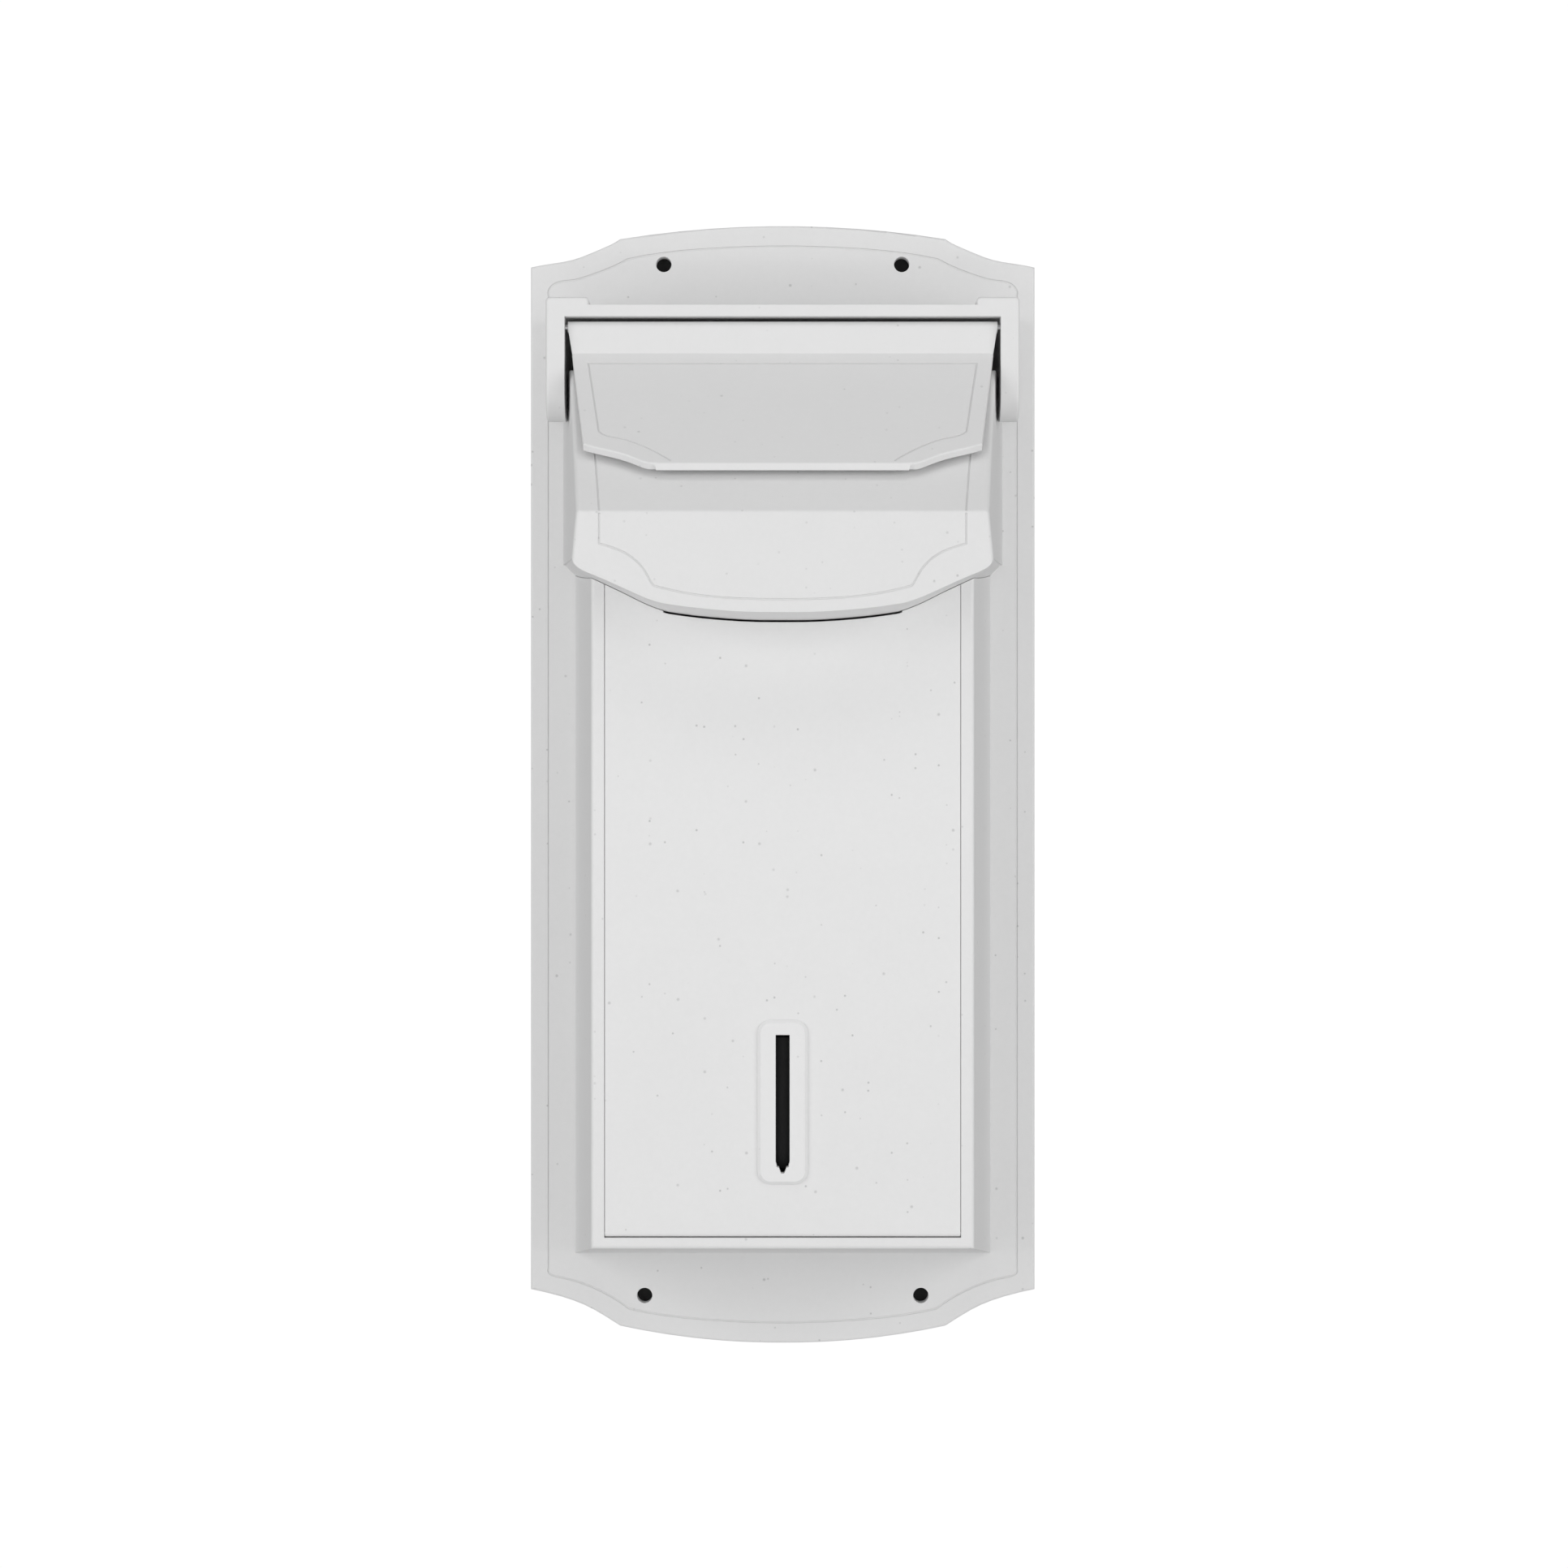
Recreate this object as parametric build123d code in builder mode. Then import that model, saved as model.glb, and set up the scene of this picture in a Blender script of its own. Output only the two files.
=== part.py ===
from build123d import *
import os

os.makedirs("parts", exist_ok=True)

# Dog waste bin for a wall or post. Millimetres, +Z up, the front faces -Y,
# the wall face is Y = 0 and the origin is the centre of the back plate's back face.
# "Depth" below is the distance from the wall, so depth d is Y = -d.

# ---- driving dimensions -------------------------------------------------
plate_half_w = 180.4      # half width of the back plate
plate_half_h = 400.0      # half height of the back plate at the arches
plate_t = 12.0            # overall thickness of the back plate
plate_skin = 4.0          # front skin of the back plate
wall = 3.0                # moulded wall of the housing parts
fix_hole_r = 5.5          # four fixing holes, clearance for M10
fix_top_x, fix_top_z = 85.2, 372.4
fix_bot_x, fix_bot_z = 98.9, -366.0

body_front = 180.0                    # depth of the body's front face
body_w0, body_w1 = 148.7, 128.9       # half widths at the plate and at the front
body_z0, body_z1 = -335.4, -312.6     # bottom edge at the plate and at the front

hood_front = 235.0                    # depth of the visor's front face
hood_w0, hood_w1 = 157.4, 136.2       # half widths at the plate and at the front
hood_w2 = 145.4                       # the front's half width 100 mm below the ridge: the cheeks flare
ridge_z = 180.0                       # ridge between roof and visor
roof_c = ridge_z + hood_front         # roof plane: Z = roof_c - depth
hood_top = 284.0
hood_notch_z, hood_notch_w = 259.5, 148.7  # the hood is narrower between the canopy's arms

arm_in, arm_out = 149.2, 162.1        # canopy arms, half widths inside and outside
arm_bottom = 249.5
bar_z0, bar_z1 = 320.0, 328.0         # canopy bar
shoulder_z, shoulder_in = 333.4, 132.5
canopy_front = 140.0

flap_axis_d, flap_axis_z = 131.0, 313.4    # flap pivot
flap_bead_r = 4.0
flap_web_d, flap_bend_z = 135.0, 295.0     # web's front face and the bend line
flap_skin, flap_lip = 3.0, 5.6
flap_end = -115.4                          # lower edge of the sloping face
flap_bead_half = 147.2
flap_pin_r, flap_bush_ri, flap_bush_ro = 2.0, 2.06, 3.0

door_half_w = 119.7
door_gap = 0.4
door_t = 3.0
door_lip_t = 1.7
door_axis_d, door_axis_z = 177.5, -302.1   # door pivot, centre of the bead on its lower edge
door_bead_r = 2.5
door_pin_r = 1.2

slot_z = -213.8                            # centre of the bag slot's boss
boss_w, boss_h, boss_t = 34.0, 110.8, 3.0
slot_half, slot_top, slot_bot, notch_bot = 4.7, -168.5, -257.2, -261.6

box_w, box_back, box_front, box_z0, box_z1, box_t = 36.0, 98.0, 176.4, -268.0, -157.0, 2.4
roll_d, roll_r, roll_z0, roll_z1 = 136.0, 28.0, -261.0, -170.0
core_z0, core_z1, core_ro, core_ri, spindle_r = -263.3, -168.0, 10.0, 8.0, 7.92
spindle_z1 = -166.0

shelf_z, shelf_t = -132.0, 3.0
bin_z0, bin_z1, bin_t = -128.7, 90.0, 2.2

screw_r, pilot_r = 2.0, 2.05

# ---- shared positions ---------------------------------------------------
FIX_HOLES = [(fix_top_x, fix_top_z), (-fix_top_x, fix_top_z), (fix_bot_x, fix_bot_z), (-fix_bot_x, fix_bot_z)]
BODY_POSTS = [(x, z) for x in (-138.0, 138.0) for z in (-318.0, -90.0, 100.0)]
HOOD_POSTS = [(-146.0, 182.0), (146.0, 182.0), (-141.0, 268.0), (141.0, 268.0)]
CANOPY_POSTS = [(-155.6, 284.0), (155.6, 284.0), (-60.0, 324.0), (60.0, 324.0)]
HOUSING = BODY_POSTS + HOOD_POSTS + CANOPY_POSTS
BRACKET_SCREWS = [(x, z) for x in (-85.0, 85.0) for z in (-142.0, -196.0)]
PADS = [(x, z) for x in (-44.0, 44.0) for z in (-258.0, -170.0)]
CATCH_SCREWS = [(x, z) for x in (-122.2, 122.2) for z in (102.0, 110.0)]
STRIKE_SCREWS = [(x, z) for x in (-107.8, 107.8) for z in (94.6, 117.4)]
BEZEL_SCREWS = [(-12.0, slot_z), (12.0, slot_z)]

# planes of the roof and of the flap's sloping face: local y runs up the slope
ROOF = Plane(origin=(0, -hood_front, ridge_z), x_dir=(1, 0, 0), z_dir=(0, -1, 1))
FLAP = Plane(origin=(0, -flap_web_d, flap_bend_z), x_dir=(1, 0, 0), z_dir=(0, -1, 1))

# ---- profiles -----------------------------------------------------------
# Parting line between the hood and what hangs below it: an arch with a scroll
# at each end. First at the visor's front, then the same points at the plate.
ARCH = [(0.0, 113.5), (17.7, 113.6), (37.5, 114.6), (57.3, 116.4), (77.1, 119.1)]
SCROLL = [(77.1, 119.1), (86.8, 121.6), (98.3, 126.3), (107.6, 130.6), (116.9, 134.8), (124.5, 138.0), (132.3, 141.4), (136.6, 144.4), (138.9, 149.0)]
ARCH0 = [(x, z - 11.0) for x, z in ARCH]
SCROLL0 = [(77.1, 108.1), (88.5, 113.6), (102.2, 121.3), (114.0, 128.6), (126.3, 134.8), (137.0, 141.0), (148.2, 149.4), (152.9, 153.5), (155.6, 157.0)]


def flip(points):
    return [(-x, z) for x, z in points]


def symmetric(points):
    """The points and their mirror images from left to right; the first point is on the axis."""
    return flip(points[::-1])[:-1] + list(points)


def blend(a, b, t):
    return [(p[0] + (q[0] - p[0]) * t, p[1] + (q[1] - p[1]) * t) for p, q in zip(a, b)]


def above_arch(drop):
    """The space above the parting line, lowered by drop, ruled from behind the plate to before the visor."""
    with BuildPart() as space:
        for depth in (5.0, 245.0):
            t = (depth - plate_t) / (hood_front - plate_t)
            a = [(x, z - drop) for x, z in blend(ARCH0, ARCH, t)]
            s = [(x, z - drop) for x, z in blend(SCROLL0, SCROLL, t)]
            x1, z1 = s[-1]
            with BuildSketch(Plane.XZ.offset(depth)):
                with BuildLine():
                    Spline(*symmetric(a))
                    Spline(*s)
                    Spline(*flip(s))
                    Polyline((x1, z1), (220.0, z1), (220.0, 420.0), (-220.0, 420.0), (-220.0, z1), (-x1, z1))
                make_face()
        loft(ruled=True)
    return space.part


OVER_HOOD = above_arch(0.0)
OVER_BODY = above_arch(0.4)
OVER_DOOR = above_arch(1.5)
OVER_FLOOR = above_arch(-wall)


def plate_outline():
    top = [(116.4, 390.7), (122.2, 387.2), (128.0, 384.6), (139.6, 379.6), (151.3, 375.6), (168.7, 372.6), (plate_half_w, 370.3)]
    bot = [(116.4, -387.8), (122.2, -384.2), (128.0, -380.5), (139.6, -374.0), (151.3, -369.2), (168.7, -364.2), (plate_half_w, -361.6)]
    low = [(0.0, -plate_half_h), (32.0, -399.2), (64.0, -396.5), (98.9, -391.3), (116.4, -387.8)]
    with BuildSketch() as outline:
        with BuildLine():
            ThreePointArc((-116.4, 390.7), (0, plate_half_h), (116.4, 390.7))
            Spline(*top)
            Spline(*flip(top))
            Line(top[-1], bot[-1])
            Line(flip(top)[-1], flip(bot)[-1])
            Spline(*bot)
            Spline(*flip(bot))
            Spline(*symmetric(low))
        make_face()
    return outline.sketch


PLATE = plate_outline()
PLATE_GROOVE_TOP = [(167.6, 350.0), (167.2, 354.6), (163.8, 358.1), (150.7, 361.0), (137.9, 364.5), (125.1, 369.2), (111.1, 376.1)]
PLATE_GROOVE_ARCH = [(0.0, 385.3), (36.7, 384.4), (62.3, 382.9), (87.3, 380.3), (111.1, 376.1)]
PLATE_GROOVE_BOT = [(167.6, -346.0), (167.0, -350.2), (162.0, -352.4), (150.7, -354.9), (137.9, -359.3), (125.1, -365.4), (110.0, -375.4)]
PLATE_GROOVE_LOW = [(0.0, -385.4), (23.9, -384.9), (54.7, -383.2), (80.9, -380.6), (110.0, -375.4)]

# ---- back plate ---------------------------------------------------------
# Moulded skin with a deep rim, and ribs and bosses behind it.
with BuildPart() as back_plate:
    with BuildSketch(Plane.XZ):
        add(PLATE)
    extrude(amount=plate_t)
    fillet(back_plate.faces().sort_by(Axis.Y)[0].edges(), radius=1.5)
    with BuildSketch(Plane.XZ):
        with BuildLine():
            Polyline((-175, 360), (-112, 379), (0, 392), (112, 379), (175, 360), (175, -352), (112, -376), (0, -392), (-112, -376), (-175, -352), close=True)
        make_face()
        with Locations(*[(0.0, z) for z in (-300, -225, -150, -75, 0, 75, 150, 225, 300)]):
            Rectangle(360, 5, mode=Mode.SUBTRACT)
        with Locations(*[(x, 0.0) for x in (-100, -50, 0, 50, 100)]):
            Rectangle(5, 800, mode=Mode.SUBTRACT)
        with Locations(*FIX_HOLES):
            Circle(13, mode=Mode.SUBTRACT)
    extrude(amount=plate_t - plate_skin, mode=Mode.SUBTRACT)
    with BuildSketch(Plane.XZ):
        with Locations(*FIX_HOLES):
            Circle(fix_hole_r)
        with Locations(*HOUSING, *BRACKET_SCREWS):
            Circle(2.25)
    extrude(amount=plate_t, mode=Mode.SUBTRACT)
    # decorative groove that follows the outline
    with BuildSketch(Plane.XZ.offset(plate_t)):
        with BuildLine() as plate_line:
            Line((167.6, 350.0), (167.6, -346.0))
            Line((-167.6, 350.0), (-167.6, -346.0))
            Spline(*PLATE_GROOVE_TOP)
            Spline(*flip(PLATE_GROOVE_TOP))
            Spline(*symmetric(PLATE_GROOVE_ARCH))
            Spline(*PLATE_GROOVE_BOT)
            Spline(*flip(PLATE_GROOVE_BOT))
            Spline(*symmetric(PLATE_GROOVE_LOW))
        trace(plate_line.edges(), line_width=1.1)
    extrude(amount=-0.6, mode=Mode.SUBTRACT)
back_plate.part.label = "back_plate"
export_step(back_plate.part, "parts/back_plate.step")

# ---- body shell ---------------------------------------------------------
# Drafted on both sides and below; open behind and on top; rebated for the door.
with BuildPart() as body_shell:
    with BuildSketch(Plane.XZ.offset(plate_t)):
        with BuildLine():
            Polyline((-body_w0, body_z0), (body_w0, body_z0), (body_w0, 200), (-body_w0, 200), close=True)
        make_face()
    with BuildSketch(Plane.XZ.offset(body_front)):
        with BuildLine():
            Polyline((-body_w1, body_z1), (body_w1, body_z1), (body_w1, 200), (-body_w1, 200), close=True)
        make_face()
    loft(ruled=True)
    front_edges = body_shell.faces().sort_by(Axis.Y)[0].edges()
    fillet(front_edges.filter_by(Axis.Z) + front_edges.filter_by(Axis.X).sort_by(Axis.Z)[:1], radius=2.5)
    with BuildSketch(Plane.XZ.offset(plate_t - 1.0)):
        with BuildLine():
            Polyline((-145.8, -332.5), (145.8, -332.5), (145.8, 210), (-145.8, 210), close=True)
        make_face()
    with BuildSketch(Plane.XZ.offset(body_front - 5.0)):
        with BuildLine():
            Polyline((-126.5, -310.3), (126.5, -310.3), (126.5, 210), (-126.5, 210), close=True)
        make_face()
    loft(ruled=True, mode=Mode.SUBTRACT)
    # door opening, and the wider rebate in front of it
    with BuildSketch(Plane.XZ.offset(body_front - 8.0)):
        with Locations((0, -42.6)):
            Rectangle(233.2, 525.2)
    extrude(amount=10.0, mode=Mode.SUBTRACT)
    with BuildSketch(Plane.XZ.offset(body_front - 2.0)):
        with Locations((0, -42.6)):
            Rectangle(2 * (door_half_w + door_gap), 525.2)
    extrude(amount=4.0, mode=Mode.SUBTRACT)
    # room for the bead on the door's lower edge
    with BuildSketch(Plane.YZ.offset(-door_half_w - door_gap)):
        with Locations((-door_axis_d, door_axis_z)):
            Rectangle(7.4, 6.2)
    extrude(amount=2 * (door_half_w + door_gap), mode=Mode.SUBTRACT)
    # pivot blocks beside the door's lower corners, with blind holes for the pins
    with Locations((-123.9, -175.6, -302.4), (123.9, -175.6, -302.4)):
        Box(7.2, 6.4, 9.0)
    with BuildSketch(Plane.YZ.offset(door_half_w)):
        with Locations((-door_axis_d, door_axis_z)):
            Circle(door_pin_r + 0.03)
    extrude(amount=6.6, mode=Mode.SUBTRACT)
    with BuildSketch(Plane.YZ.offset(-door_half_w)):
        with Locations((-door_axis_d, door_axis_z)):
            Circle(door_pin_r + 0.03)
    extrude(amount=-6.6, mode=Mode.SUBTRACT)
    # posts for the housing screws
    with BuildSketch(Plane.XZ.offset(plate_t)):
        with Locations(*BODY_POSTS):
            Circle(6.0)
    extrude(amount=34.0)
    with BuildSketch(Plane.XZ.offset(plate_t)):
        with Locations(*BODY_POSTS):
            Circle(pilot_r)
    extrude(amount=28.0, mode=Mode.SUBTRACT)
    # pilot holes for the magnetic catches
    with BuildSketch(Plane.XZ.offset(body_front - 5.2)):
        with Locations(*CATCH_SCREWS):
            Circle(1.3)
    extrude(amount=3.7, mode=Mode.SUBTRACT)
    add(OVER_BODY, mode=Mode.SUBTRACT)
body_shell.part.label = "body_shell"
export_step(body_shell.part, "parts/body_shell.step")

# ---- hood ---------------------------------------------------------------
# Its cavity, above the visor's floor.
with BuildPart() as hood_cavity:
    with BuildSketch(Plane.YZ.offset(-170)):
        with BuildLine():
            Polyline((-10, 85), (-232, 85), (-232, 178.757), (-129.757, 281), (-10, 281), close=True)
        make_face()
    extrude(amount=340)
    with BuildSketch(Plane.XY.offset(80)):
        with BuildLine():
            Polyline((-hood_w0 + wall, -9), (-hood_w1 + wall, -hood_front), (hood_w1 - wall, -hood_front), (hood_w0 - wall, -9), close=True)
        make_face()
    extrude(amount=250, mode=Mode.INTERSECT)
    with Locations((-170, -126, 306.5), (170, -126, 306.5)):
        Box(2 * (170 - hood_notch_w + wall), 260, 100, mode=Mode.SUBTRACT)
    add(OVER_FLOOR, mode=Mode.INTERSECT)

# Its outline from above: the cheeks draw in towards the front and flare below the ridge.
with BuildPart() as hood_plan:
    with BuildSketch(Plane.XY.offset(ridge_z - 100)):
        with BuildLine():
            Polyline((-hood_w0, -plate_t), (-hood_w2, -hood_front), (hood_w2, -hood_front), (hood_w0, -plate_t), close=True)
        make_face()
    with BuildSketch(Plane.XY.offset(ridge_z)):
        with BuildLine():
            Polyline((-hood_w0, -plate_t), (-hood_w1, -hood_front), (hood_w1, -hood_front), (hood_w0, -plate_t), close=True)
        make_face()
    loft(ruled=True)
    with BuildSketch(Plane.XY.offset(ridge_z)):
        with BuildLine():
            Polyline((-hood_w0, -plate_t), (-hood_w1, -hood_front), (hood_w1, -hood_front), (hood_w0, -plate_t), close=True)
        make_face()
    extrude(amount=150)

OPEN_D0, OPEN_D1, OPEN_HALF = 150.0, 190.0, 95.0    # deposit opening in the roof
open_s0, open_s1 = (hood_front - OPEN_D0) * 2**0.5, (hood_front - OPEN_D1) * 2**0.5
VISOR_SIDE = [(121.0, 179.0), (121.0, 158.8)]
VISOR_SCROLL = [(121.0, 158.8), (114.1, 156.8), (107.1, 154.2), (101.2, 151.0), (95.3, 146.2), (91.2, 141.3), (88.4, 136.3), (85.1, 131.1)]
VISOR_ARCH = [(0.0, 122.1), (37.5, 123.1), (52.5, 124.5), (67.5, 126.9), (77.1, 129.0), (85.1, 131.1)]
with BuildPart() as hood:
    with BuildSketch(Plane.YZ.offset(-170)):
        with BuildLine():
            Polyline((-plate_t, 90), (-hood_front, 90), (-hood_front, ridge_z), (-(roof_c - hood_top), hood_top), (-plate_t, hood_top), close=True)
        make_face()
    extrude(amount=340)
    add(hood_plan.part, mode=Mode.INTERSECT)
    visor = hood.faces().sort_by(Axis.Y)[0].edges()
    roof = hood.faces().filter_by(lambda f: abs(f.normal_at().Y + 0.7071) < 0.01).edges()
    fillet(ShapeList(set(visor.filter_by(lambda e: abs(e.tangent_at(0.5).Z) > 0.9) + roof)), radius=3.0)
    # narrower between the canopy's arms
    with Locations((-170, -126, 309.5), (170, -126, 309.5)):
        Box(2 * (170 - hood_notch_w), 260, 100, mode=Mode.SUBTRACT)
    add(OVER_HOOD, mode=Mode.INTERSECT)
    add(hood_cavity.part, mode=Mode.SUBTRACT)
    # passage down into the body
    with Locations((0, -94, 140)):
        Box(244, 164, 110, mode=Mode.SUBTRACT)
    # deposit opening with a raised collar
    with BuildSketch(ROOF):
        with Locations((0, (open_s0 + open_s1) / 2)):
            Rectangle(2 * OPEN_HALF + 5, open_s0 - open_s1 + 5)
    extrude(amount=4.0)
    with BuildSketch(ROOF.offset(6)):
        with Locations((0, (open_s0 + open_s1) / 2)):
            RectangleRounded(2 * OPEN_HALF, open_s0 - open_s1, 6)
    extrude(amount=-14.0, mode=Mode.SUBTRACT)
    # ledges that carry the chute
    with BuildSketch(Plane.YZ.offset(-76)):
        with BuildLine():
            Polyline((-233, 174.6), (-190, 131.6), (-190, 119.2), (-233, 119.2), close=True)
        make_face()
    extrude(amount=4)
    with BuildSketch(Plane.YZ.offset(72)):
        with BuildLine():
            Polyline((-233, 174.6), (-190, 131.6), (-190, 119.2), (-233, 119.2), close=True)
        make_face()
    extrude(amount=4)
    # posts for the housing screws
    with BuildSketch(Plane.XZ.offset(plate_t)):
        with Locations(*HOOD_POSTS):
            Circle(6.0)
    extrude(amount=34.0)
    with BuildSketch(Plane.XZ.offset(plate_t)):
        with Locations(*HOOD_POSTS):
            Circle(pilot_r)
    extrude(amount=28.0, mode=Mode.SUBTRACT)
    # decorative grooves on the visor and along the roof
    with BuildSketch(Plane.XZ.offset(hood_front)):
        with BuildLine() as visor_line:
            Line(*VISOR_SIDE)
            Line(*flip(VISOR_SIDE))
            Spline(*VISOR_SCROLL)
            Spline(*flip(VISOR_SCROLL))
            Spline(*symmetric(VISOR_ARCH))
        trace(visor_line.edges(), line_width=1.1)
    extrude(amount=-0.55, mode=Mode.SUBTRACT)
    with BuildSketch(ROOF):
        with BuildLine() as roof_line:
            Line((-121.0, 1.0), (-126.6, 70.0))
            Line((121.0, 1.0), (126.6, 70.0))
        trace(roof_line.edges(), line_width=1.1)
    extrude(amount=-0.55, mode=Mode.SUBTRACT)
hood.part.label = "hood"
export_step(hood.part, "parts/hood.step")

# ---- rain canopy --------------------------------------------------------
with BuildPart() as rain_canopy:
    with BuildSketch(Plane.XZ.offset(plate_t)):
        with BuildLine():
            Polyline((-arm_out, arm_bottom), (-arm_out, shoulder_z), (-shoulder_in, shoulder_z), (-shoulder_in, bar_z1), (shoulder_in, bar_z1),
                     (shoulder_in, shoulder_z), (arm_out, shoulder_z), (arm_out, arm_bottom), (arm_in, arm_bottom), (arm_in, bar_z0),
                     (-arm_in, bar_z0), (-arm_in, arm_bottom), close=True)
        make_face()
    extrude(amount=canopy_front - plate_t)
    front = rain_canopy.faces().sort_by(Axis.Y)[0].edges()
    fillet(front.filter_by(Axis.X).group_by(Axis.Z)[0], radius=20.0)
    tops = rain_canopy.edges().filter_by(Axis.Y).filter_by(lambda e: e.center().Z > shoulder_z - 1)
    fillet(tops, radius=3.0)
    front = rain_canopy.faces().sort_by(Axis.Y)[0].edges()
    fillet(front.filter_by(Axis.Z).filter_by(lambda e: abs(e.center().X) > arm_out - 1), radius=2.2)
    with BuildSketch(Plane.YZ.offset(arm_in)):
        with Locations((-flap_axis_d, flap_axis_z)):
            Circle(flap_pin_r + 0.03)
    extrude(amount=9.0, mode=Mode.SUBTRACT)
    with BuildSketch(Plane.YZ.offset(-arm_in)):
        with Locations((-flap_axis_d, flap_axis_z)):
            Circle(flap_pin_r + 0.03)
    extrude(amount=-9.0, mode=Mode.SUBTRACT)
    with BuildSketch(Plane.XZ.offset(plate_t)):
        with Locations(*CANOPY_POSTS):
            Circle(pilot_r)
    extrude(amount=28.0, mode=Mode.SUBTRACT)
    # the lower ends of the arms stand clear of the hood's cheeks
    with BuildSketch(Plane.XY.offset(220)):
        with BuildLine():
            Polyline((-hood_w0 - 0.5, -plate_t + 1), (-hood_w1 - 0.5, -hood_front), (hood_w1 + 0.5, -hood_front), (hood_w0 + 0.5, -plate_t + 1), close=True)
        make_face()
    extrude(amount=hood_notch_z + 0.5 - 220, mode=Mode.SUBTRACT)
    # their undersides rise towards the plate
    with BuildSketch(Plane.YZ.offset(-arm_out - 5)):
        with BuildLine():
            Polyline((-120, arm_bottom - 5), (-120, arm_bottom), (-plate_t + 1, arm_bottom + 13.5), (-plate_t + 1, arm_bottom - 5), close=True)
        make_face()
    extrude(amount=2 * arm_out + 10, mode=Mode.SUBTRACT)
rain_canopy.part.label = "rain_canopy"
export_step(rain_canopy.part, "parts/rain_canopy.step")

# ---- deposit flap -------------------------------------------------------
FLAP_SCROLL = [(133.2, -95.8), (123.6, -99.8), (113.8, -103.2), (104.1, -107.4), (96.2, -111.9), (91.4, -114.6), (86.0, flap_end)]
GROOVE_SIDE = [(132.6, -10.8), (123.2, -82.7)]
GROOVE_SCROLL = [(123.2, -82.7), (118.5, -87.0), (109.4, -89.9), (99.8, -94.1), (91.0, -99.6), (82.7, -105.8), (74.5, -113.0)]
with BuildPart() as deposit_flap:
    with BuildSketch(FLAP):
        with BuildLine():
            Polyline((-133.2, -95.8), (-144.2, 0), (144.2, 0), (133.2, -95.8))
            Spline(*FLAP_SCROLL)
            Spline(*flip(FLAP_SCROLL))
            Line((86.0, flap_end), (-86.0, flap_end))
        make_face()
    extrude(amount=-flap_lip)
    # upright front of the lower lip
    lip_d, lip_z = flap_web_d - flap_end * 0.5**0.5, flap_bend_z + flap_end * 0.5**0.5
    with BuildSketch(Plane.XZ.offset(lip_d)):
        with BuildLine():
            Polyline((-86.0, lip_z), (86.0, lip_z), (84.0, lip_z - 4.7), (-84.0, lip_z - 4.7), close=True)
        make_face()
    extrude(amount=-4.6)
    slope = deposit_flap.faces().filter_by(lambda f: abs(f.normal_at().Y + 0.7071) < 0.01 and f.normal_at().Z > 0)[0]
    fillet(slope.edges().filter_by(lambda e: e.center().Z < flap_bend_z - 0.5), radius=1.0)
    # the skin is thinner inside its lip
    with BuildSketch(FLAP.offset(-flap_lip)):
        with BuildLine():
            Polyline((-138.6, -6), (138.6, -6), (128.6, -92.2), (100, -103.0), (84, -110.4), (-84, -110.4), (-100, -103.0), (-128.6, -92.2), close=True)
        make_face()
    extrude(amount=flap_lip - flap_skin, mode=Mode.SUBTRACT)
    # upright web and pivot bead
    with BuildSketch(Plane.XZ.offset(flap_web_d)):
        with BuildLine():
            Polyline((-144.2, flap_bend_z - 3.0), (144.2, flap_bend_z - 3.0), (144.2, flap_bend_z), (flap_bead_half, flap_axis_z), (-flap_bead_half, flap_axis_z), (-144.2, flap_bend_z), close=True)
        make_face()
    extrude(amount=-3.0)
    with BuildSketch(Plane.YZ.offset(-flap_bead_half)):
        with Locations((-flap_axis_d, flap_axis_z)):
            Circle(flap_bead_r)
    extrude(amount=2 * flap_bead_half)
    with BuildSketch(Plane.YZ.offset(flap_bead_half)):
        with Locations((-flap_axis_d, flap_axis_z)):
            Circle(flap_bush_ro + 0.04)
    extrude(amount=-11.0, mode=Mode.SUBTRACT)
    with BuildSketch(Plane.YZ.offset(-flap_bead_half)):
        with Locations((-flap_axis_d, flap_axis_z)):
            Circle(flap_bush_ro + 0.04)
    extrude(amount=11.0, mode=Mode.SUBTRACT)
    # decorative groove
    with BuildSketch(FLAP):
        with BuildLine() as flap_line:
            Polyline((-123.2, -82.7), (-132.6, -10.8), (132.6, -10.8), (123.2, -82.7))
            Spline(*GROOVE_SCROLL)
            Spline(*flip(GROOVE_SCROLL))
        trace(flap_line.edges(), line_width=1.0)
    extrude(amount=-0.5, mode=Mode.SUBTRACT)
deposit_flap.part.label = "deposit_flap"
export_step(deposit_flap.part, "parts/deposit_flap.step")

with BuildPart() as flap_bushes:
    for x, way in ((flap_bead_half, -10.8), (-flap_bead_half, 10.8)):
        with BuildSketch(Plane.YZ.offset(x)):
            with Locations((-flap_axis_d, flap_axis_z)):
                Circle(flap_bush_ro)
                Circle(flap_bush_ri, mode=Mode.SUBTRACT)
        extrude(amount=way)
flap_bushes.part.label = "flap_bushes"
export_step(flap_bushes.part, "parts/flap_bushes.step")

with BuildPart() as flap_pivot_pins:
    for x, way in ((arm_in + 8.8, -21.0), (-arm_in - 8.8, 21.0)):
        with BuildSketch(Plane.YZ.offset(x)):
            with Locations((-flap_axis_d, flap_axis_z)):
                Circle(flap_pin_r)
        extrude(amount=way)
flap_pivot_pins.part.label = "flap_pivot_pins"
export_step(flap_pivot_pins.part, "parts/flap_pivot_pins.step")

# Rubber pads on the roof that the flap comes down on.
with BuildPart() as flap_bumpers:
    with BuildSketch(ROOF):
        with Locations((-60, 51.4), (60, 51.4)):
            Circle(5.0)
    extrude(amount=7.5)
    fillet(flap_bumpers.faces().sort_by(Axis((0, 0, 0), (0, -1, 1)))[-2:].edges(), radius=1.2)
flap_bumpers.part.label = "flap_bumpers"
export_step(flap_bumpers.part, "parts/flap_bumpers.step")

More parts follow.
